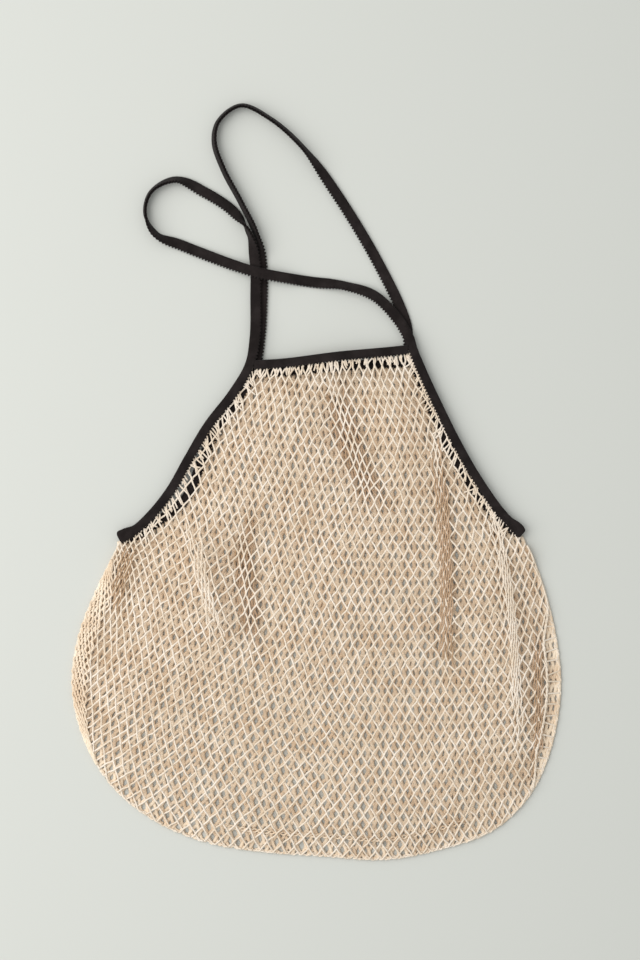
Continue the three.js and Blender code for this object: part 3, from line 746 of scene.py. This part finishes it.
SELVEDGE_PITCH = 9.5
pulled = smoothstep(rim_share, 0.0, 0.05) * (1 - smoothstep(rim_share, 0.12, 0.26))
side_by_side = np.array([1.2, 2.3, 3.5, 4.8, 6.2, 7.7, 9.3, 11.0, 13.2])
phases = np.array([0.0, 0.5, 0.1, 0.62, 0.2, 0.7, 0.05, 0.55, 0.9])
offsets = 0.7 + (side_by_side - 0.7)[:, None] * pulled + 1.1 * pulled * wave(SELVEDGE_PITCH, phases)
sx, sy = np.moveaxis(rim_run[None] + rim_in[None] * offsets[..., None], -1, 0)
lying = front_height(sx, sy) + 1.3 + 0.4 * wave(SELVEDGE_PITCH, phases + 0.25)
# the selvedge yarn is coloured with painted shade, in the darker copy of the yarn
net_pieces["front", "selvedge"] = rim_yarn(
    "selvedge_yarn", offsets, lying, np.repeat(pulled[None] > 0.08, len(phases), 0))

RUNG_PITCH = 9
rails = net_inset + 0.5 * wave(RUNG_PITCH, [0, 0.5])
sx, sy = np.moveaxis(rim_run[None] + rim_in[None] * rails[..., None], -1, 0)
net_pieces["front", "rail"] = rim_yarn(
    "ladder_rail_yarn", rails, front_height(sx, sy) + 0.9 + 0.4 * wave(RUNG_PITCH, [0.25, 0.75]),
    np.repeat(ladder[None] > 0.05, 2, 0))

# %% [markdown]
# ## Rungs of the ladder
# The lacing crosses from the rim to the last meshes of the front panel once a mesh. Each rung is a straight
# strand with a small random slant, and its height eases from the rim up to the net.

# %% Rungs
rung_from = np.arange(0.745, 0.943, RUNG_PITCH / rim_at[-1])
slant = noise.normal(0, 1.6, len(rung_from)) / rim_at[-1]
share = np.linspace(0, 1, 7)
rung_at = (rung_from[:, None] + slant[:, None] * share) * rim_at[-1]
rung_off = lerp(0.7, np.interp(rung_at, rim_at, net_inset), share)
rung_x, rung_y = (
    np.interp(rung_at, rim_at, rim_run[:, k]) + np.interp(rung_at, rim_at, rim_in[:, k]) * rung_off
    for k in (0, 1))
rung_z = lerp(1.5, front_height(rung_x, rung_y) + 0.9, share)
rungs = np.stack([rung_x, rung_y, rung_z], axis=-1)
net_pieces["front", "rungs"] = yarn_piece("ladder_rung_yarn", rungs, np.ones(rungs.shape[:2], bool), YARN)

# %% [markdown]
# ## Pleats
# Where the net is gathered its strands lie side by side, in bundles that run down the bag. A bundle is a
# few strands along one line. Each swings to and fro once a mesh, out of step with the next one, and the
# bundle opens towards its ends. Bundles in shade are drawn in a darker copy of the yarn, which is painted
# shade.

# %% Strands along the pleats
PLEAT_YARN = 1.2  # the strands are pulled tight here
PLEAT_PITCH = 14.4  # one whole mesh
# places (x, depth) along the middle, half the width, number of strands, height over the net's underside,
# and in shade or in light: in shade the strands take a darker copy of the yarn with painted shade, in light
# the yarn's own colour
PLEATS = {
    "right_pleat": ([(82, 58), (85, 76), (89.4, 129), (91.8, 193), (91.8, 250)], 4.2, 10, 1.05, "shade"),
    "middle_pleat": ([(-1, 14), (1.4, 24), (11, 57), (27, 102), (39, 131)], 8.5, 13, -0.6, "shade"),
    "left_pleat": ([(-73, 126), (-71.4, 141), (-68.2, 185), (-65, 236)], 6.5, 9, -0.6, "shade"),
    "corner_pleat": ([(-158, 146), (-162, 158), (-168, 178), (-176, 204)], 4.4, 9, 1.05, "shade"),
    "side_pleat": ([(163, 212), (163.5, 228), (165.4, 273), (163.8, 318), (157, 340)], 3.0, 7, 0.8, "shade"),
    "left_ridge": ([(-111, 126), (-108.2, 145), (-100.2, 185), (-89, 228)], 3.8, 6, 0.95, "light"),
    "right_ridge": ([(119, 106), (123, 117), (132.6, 143), (143, 198), (149.4, 308)], 2.8, 7, 1.05, "light"),
}


def pleat(name, places, half_width, count, over, random):
    """Strands along a line: offset = share x half width x opening + swing, opening = 1 at the middle and
    1.7 at the ends. Each strand starts and stops at its own place."""
    places = np.array(places, float) * [1, -1]
    line, at = evenly(curve_through(places, 12), 1.7)
    share = at / at[-1]
    opening = 1 + 0.7 * np.abs(2 * share - 1) ** 3
    across = np.linspace(-1, 1, count)[:, None]
    phase = np.arange(count)[:, None] * 0.46 + random.uniform(0, 0.15, (count, 1))
    swing = 0.6 * np.sin(2 * np.pi * (at / PLEAT_PITCH + phase))
    flat = line + across_of(line) * (across * half_width * opening + swing)[..., None]
    first, last = random.uniform(0, 0.3, (2, count, 1))
    kept = (share > first) & (share < 1 - last)
    rise = 0.35 * np.cos(2 * np.pi * (at / PLEAT_PITCH + phase))
    height = front_height(flat[..., 0], flat[..., 1]) + over + rise
    height = np.maximum(height, PLEAT_YARN / 2 + 0.1)
    return yarn_piece(f"{name}_yarn", np.concatenate([flat, height[..., None]], axis=-1), kept, PLEAT_YARN)


for name, (places, half_width, count, over, tone) in PLEATS.items():
    net_pieces["front", f"{tone} {name}"] = pleat(name, places, half_width, count, over, noise)

# %% [markdown]
# ## Loops at the bound edge
# The seamstress caught the edge of the net in the tape with its meshes crowded together. Short loops of
# yarn come out from under the tape, two or three to a mesh, and lie over the binding of the back panel.

# %% Loops under the tape
def edge_loops(name, count, low, high, pull, reach, random):
    """Short strands that leave the bound edge of the front panel between two shares of its length. Their
    way is part straight in and part down the bag (pull), turned a little at random, and slightly bowed."""
    bound, at = evenly(edges["front"][0], 1.0)
    place = (np.linspace(low, high, count) + random.normal(0, 0.0012, count)) * at[-1]
    start = np.stack([np.interp(place, at, bound[:, k]) for k in (0, 1)], axis=1)
    inward = np.stack([np.interp(place, at, across_of(bound)[:, k]) for k in (0, 1)], axis=1)
    way = lerp(inward, np.array([0.0, -1.0]), pull)
    angle = np.arctan2(way[:, 1], way[:, 0]) + random.normal(0, 0.4, count)
    way = np.stack([np.cos(angle), np.sin(angle)], axis=1)
    side = np.stack([-way[:, 1], way[:, 0]], axis=1)
    t = np.linspace(0, 1, 7)[None, :, None]
    length = (reach * random.uniform(0.55, 1.4, count))[:, None, None]
    bow = random.normal(0, 0.9, count)[:, None, None]
    flat = start[:, None] - inward[:, None] * 1.0 + way[:, None] * length * t
    flat = flat + side[:, None] * bow * np.sin(np.pi * t)
    height = front_height(flat[..., 0], flat[..., 1]) + 0.75 + 0.5 * np.sin(np.pi * t[..., 0])
    centres = np.concatenate([flat, height[..., None]], axis=-1)
    return yarn_piece(name, centres, np.ones(centres.shape[:2], bool), YARN * 0.9)


bound_line = edges["front"][0]
bound_at = lengths(bound_line)
mouth_from, mouth_to = (
    np.interp(side * (MOUTH_WIDTH / 2 - 5), bound_line[:, 0], bound_at / bound_at[-1])
    for side in (-1, 1))
net_pieces["front", "mouth_loops"] = edge_loops("mouth_loop_yarn", 64, mouth_from, mouth_to, 1.0, 8.5, noise)
net_pieces["front", "left_loops"] = edge_loops("left_loop_yarn", 66, 0.03, mouth_from, 0.5, 12.5, noise)
net_pieces["front", "right_loops"] = edge_loops("right_loop_yarn", 66, mouth_to, 0.98, 0.7, 11.5, noise)

# %% [markdown]
# ## Seam near the bottom
# A second line of stitching runs a little above the rim, where the bottom of the back panel was closed. It
# is two yarns that wind round each other, at a fixed way in from the rim.

# %% Seam of the back panel
SEAM_INSET = 17.0
SEAM_HEIGHT = 3.4
SEAM_PITCH = 9.6
seam_off = SEAM_INSET + 1.3 * wave(SEAM_PITCH, [0, 0.5])
seam_up = SEAM_HEIGHT + 0.5 * wave(SEAM_PITCH, [0.25, 0.75])
seam_kept = np.repeat(((rim_share > 0.40) & (rim_share < 0.66))[None], 2, 0)
# the seam yarn takes the back panel's colour, which carries painted shade
net_pieces["back", "seam"] = rim_yarn("bottom_seam_yarn", seam_off, seam_up, seam_kept)

# %% [markdown]
# ## Materials
# Each material is named for what it is made of, and for the painted shade that two copies of the yarn
# carry, and its pattern follows the UV map of the strand or the tape, so that twist and weave follow the
# surface. One small function adds a node with its settings and its links, and one turns a colour from a
# screen's numbers to the linear ones that the renderer adds up.

# %% Material helpers
def linear(code):
    """An sRGB hex colour as linear red, green, blue and alpha."""
    parts = np.array([code >> 16 & 255, code >> 8 & 255, code & 255]) / 255
    parts = np.where(parts <= 0.04045, parts / 12.92, ((parts + 0.055) / 1.055) ** 2.4)
    return (*parts.tolist(), 1.0)


def add_node(tree, kind, settings=None, links=None):
    """A node with its settings: a name sets an attribute, or a socket of that name. links joins a socket
    of the new node to another node's output."""
    node = tree.nodes.new(kind)
    for key, value in (settings or {}).items():
        if isinstance(key, str) and hasattr(node, key):
            setattr(node, key, value)
        else:
            node.inputs[key].default_value = value
    for key, source in (links or {}).items():
        tree.links.new(source, node.inputs[key])
    return node


def new_material(name):
    """An empty material and its node tree."""
    material = bpy.data.materials.new(name)
    material.use_nodes = True
    material.node_tree.nodes.clear()
    return material, material.node_tree


def finish_material(tree, shader):
    """Joins the shader to the output."""
    add_node(tree, "ShaderNodeOutputMaterial", links={"Surface": shader.outputs[0]})


# %% [markdown]
# ## Undyed cotton yarn
# The yarn is two plies of soft unbleached cotton. It is cream, nearly white where it catches the light and
# a warm tan in its folds, with a matt, slightly hairy surface. Sheen stands for the fine hairs, a wave
# that runs round the strand for the twist of its plies, and slow noise for uneven colour. Two darker,
# warmer copies of the yarn carry painted shade: one for the back panel, its seam and the selvedge, and one
# for the pleats in shade.

# %% Cotton yarn
PLY_TURNS = 0.42  # turns of the plies to a millimetre, so one turn is 2.4 mm long
PLIES = 2.0
PATCHES = 60.0  # of uneven colour to a metre, so one is about 17 mm wide
HAIRS = 900.0  # to a metre; the real hairs lie closer, and are drawn about 1 mm apart so that they show


def cotton_yarn(name, light, dark):
    """Yarn of two plies. Height = 0.6 sin(2 pi (turns x length + plies x share of the way round)) + hairs,
    and the colour eases from dark to light with slow noise."""
    material, tree = new_material(name)
    uv = add_node(tree, "ShaderNodeUVMap", {"uv_map": "UVMap"})
    twist = add_node(tree, "ShaderNodeMapping", {"Scale": (PLY_TURNS, PLIES, 1)},
                     {"Vector": uv.outputs[0]})
    split = add_node(tree, "ShaderNodeSeparateXYZ", links={"Vector": twist.outputs[0]})
    turn = add_node(tree, "ShaderNodeMath", {"operation": "ADD"},
                    {0: split.outputs[0], 1: split.outputs[1]})
    angle = add_node(tree, "ShaderNodeMath", {"operation": "MULTIPLY", 1: 2 * np.pi}, {0: turn.outputs[0]})
    ply = add_node(tree, "ShaderNodeMath", {"operation": "SINE"}, {0: angle.outputs[0]})
    place = add_node(tree, "ShaderNodeTexCoord")
    patch = add_node(tree, "ShaderNodeTexNoise", {"Scale": PATCHES, "Detail": 3.0},
                     {"Vector": place.outputs["Object"]})
    tone = add_node(tree, "ShaderNodeMapRange", {"From Min": 0.35, "From Max": 0.65},
                    {"Value": patch.outputs[0]})
    colour = add_node(tree, "ShaderNodeMix", {"data_type": "RGBA", 6: linear(dark), 7: linear(light)},
                      {0: tone.outputs[0]})
    hairs = add_node(tree, "ShaderNodeTexNoise", {"Scale": HAIRS, "Detail": 2.0},
                     {"Vector": place.outputs["Object"]})
    height = add_node(tree, "ShaderNodeMath", {"operation": "MULTIPLY_ADD", 1: 0.6},
                      {0: ply.outputs[0], 2: hairs.outputs[0]})
    bump = add_node(tree, "ShaderNodeBump", {"Strength": 0.5, "Distance": 0.0002},
                    {"Height": height.outputs[0]})
    shader = add_node(tree, "ShaderNodeBsdfPrincipled",
                      {"Roughness": 0.9, "Sheen Weight": 0.35, "Sheen Roughness": 0.5, "IOR": 1.47,
                       "Specular IOR Level": 0.25},
                      {"Base Color": colour.outputs[2], "Normal": bump.outputs[0]})
    finish_material(tree, shader)
    return material


front_cotton = cotton_yarn("undyed_cotton_yarn", 0xECDFCF, 0xDFCDB6)
# painted shade: a darker, warmer copy of the same yarn, for the back panel, its seam and the selvedge
painted_shade_cotton = cotton_yarn("undyed_cotton_yarn_painted_shade", 0xEEDCC4, 0xDDC4A7)
# painted shade: a much darker copy of the yarn, for the bundles of the pleats that lie in shade
painted_pleat_shade_cotton = cotton_yarn("undyed_cotton_yarn_in_pleats", 0xC3A486, 0xAE8F6E)

# %% [markdown]
# ## Black woven cotton tape
# The tape is dyed cotton with ribs across its width, a fraction of a millimetre apart, drawn here a little
# coarser so that they show. It is matt, with a faint warm cast, and it is rubbed to a dusty grey in places.

# %% Woven tape
RIBS = 1.1  # to a millimetre; the real tape has about two, too fine to show here
THREADS = 40.0  # round the folded tape
RUBBED = 90.0  # patches to a metre, so one is about 11 mm wide


def woven_tape(name):
    """Ribbed tape. Height = sin(2 pi x ribs x length) + half of sin(2 pi x threads x share of the way
    round), and the colour eases from black to a dusty grey with noise."""
    material, tree = new_material(name)
    uv = add_node(tree, "ShaderNodeUVMap", {"uv_map": "UVMap"})
    ribs = add_node(tree, "ShaderNodeMapping", {"Scale": (RIBS, THREADS, 1)}, {"Vector": uv.outputs[0]})
    split = add_node(tree, "ShaderNodeSeparateXYZ", links={"Vector": ribs.outputs[0]})
    waves = []
    for axis in (0, 1):
        angle = add_node(tree, "ShaderNodeMath", {"operation": "MULTIPLY", 1: 2 * np.pi},
                         {0: split.outputs[axis]})
        waves.append(add_node(tree, "ShaderNodeMath", {"operation": "SINE"}, {0: angle.outputs[0]}))
    weave = add_node(tree, "ShaderNodeMath", {"operation": "MULTIPLY_ADD", 1: 0.5},
                     {0: waves[1].outputs[0], 2: waves[0].outputs[0]})
    place = add_node(tree, "ShaderNodeTexCoord")
    rub = add_node(tree, "ShaderNodeTexNoise", {"Scale": RUBBED, "Detail": 6.0, "Roughness": 0.65},
                   {"Vector": place.outputs["Object"]})
    tone = add_node(tree, "ShaderNodeMapRange", {"From Min": 0.4, "From Max": 0.75},
                    {"Value": rub.outputs[0]})
    colour = add_node(tree, "ShaderNodeMix",
                      {"data_type": "RGBA", 6: linear(0x1C1716), 7: linear(0x2C2625)},
                      {0: tone.outputs[0]})
    bump = add_node(tree, "ShaderNodeBump", {"Strength": 0.5, "Distance": 0.00015},
                    {"Height": weave.outputs[0]})
    shader = add_node(tree, "ShaderNodeBsdfPrincipled",
                      {"Roughness": 0.95, "Sheen Weight": 0.06, "Sheen Roughness": 0.4, "IOR": 1.47,
                       "Specular IOR Level": 0.15},
                      {"Base Color": colour.outputs[2], "Normal": bump.outputs[0]})
    finish_material(tree, shader)
    return material


black_tape = woven_tape("black_woven_cotton_tape")

# %% [markdown]
# ## Fitting each piece into the frame
# Every piece rides on the one body and gets its material, and the node of the imported model whose place
# it takes is hidden.

# %% Fit the pieces to the frame
def dress(piece, node, material):
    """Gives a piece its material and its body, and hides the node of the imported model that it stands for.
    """
    piece.data.materials.append(material)
    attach(piece, "root")
    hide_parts(node)


# the back panel, its seam and the selvedge get the yarn with painted shade; the bundles in shade get the
# darker one with painted pleat shade
for (panel, part), piece in net_pieces.items():
    cotton = painted_shade_cotton if panel == "back" or part == "selvedge" else front_cotton
    cotton = painted_pleat_shade_cotton if part.startswith("shade") else cotton
    dress(piece, f"{panel}_net", cotton)
for panel, piece in carry_pieces.items():
    dress(piece, f"{panel}_carry_tape", black_tape)
for panel, piece in mouth_pieces.items():
    dress(piece, f"{panel}_mouth_binding", black_tape)

# %% [markdown]
# ## Floor, light and camera
# The bag lies on a plain pale surface, seen from straight above. One large soft light at the left
# gives the short soft shadows, and an even pale sky fills them.

# %% Stage
FLOOR = 3.0
corners = np.array([(-1, -1, 0), (1, -1, 0), (1, 1, 0), (-1, 1, 0)]) * FLOOR
floor_mesh = bpy.data.meshes.new("floor")
floor_mesh.from_pydata(corners.tolist(), [], [(0, 1, 2, 3)])
floor = bpy.data.objects.new("floor", floor_mesh)
bpy.context.scene.collection.objects.link(floor)
floor_material, floor_tree = new_material("matt_pale_floor")
finish_material(floor_tree, add_node(floor_tree, "ShaderNodeBsdfPrincipled", {
    "Base Color": linear(0xC9CAC4), "Roughness": 0.9, "Specular IOR Level": 0.1}))
floor.data.materials.append(floor_material)

scene = bpy.context.scene
scene.view_settings.view_transform = "Standard"
world = bpy.data.worlds.new("pale_sky")
world.use_nodes = True
world.node_tree.nodes["Background"].inputs["Color"].default_value = (0.98, 1.0, 1.0, 1)
world.node_tree.nodes["Background"].inputs["Strength"].default_value = 0.66
scene.world = world


def soft_light(name, place, aim, size, power):
    """A square lamp, size metres wide, at a place and turned towards its aim."""
    lamp = bpy.data.lights.new(name, "AREA")
    lamp.shape = "SQUARE"
    lamp.size = size
    lamp.energy = power
    holder = bpy.data.objects.new(name, lamp)
    holder.location = place
    direction = Vector(aim) - Vector(place)
    holder.rotation_euler = direction.to_track_quat("-Z", "Y").to_euler()
    scene.collection.objects.link(holder)


soft_light("key_left", (-1.25, 0.15, 1.35), (0, 0, 0), 2.2, 36.5)

# %% [markdown]
# ## Camera
# The camera looks straight down. Its lens follows from two lengths: sensor x height / field, where the field
# is how much of the floor the picture shows from top to bottom.

# %% Camera
SENSOR = 36
CAMERA_HEIGHT = 1.7
FIELD = 0.768  # metres of floor from the top of the picture to its bottom
camera_data = bpy.data.cameras.new("camera")
camera_data.sensor_fit = "VERTICAL"
camera_data.sensor_height = SENSOR
camera_data.lens = SENSOR * CAMERA_HEIGHT / FIELD
camera = bpy.data.objects.new("camera", camera_data)
camera.location = (0.0028, 0.0018, CAMERA_HEIGHT)
scene.collection.objects.link(camera)
scene.camera = camera
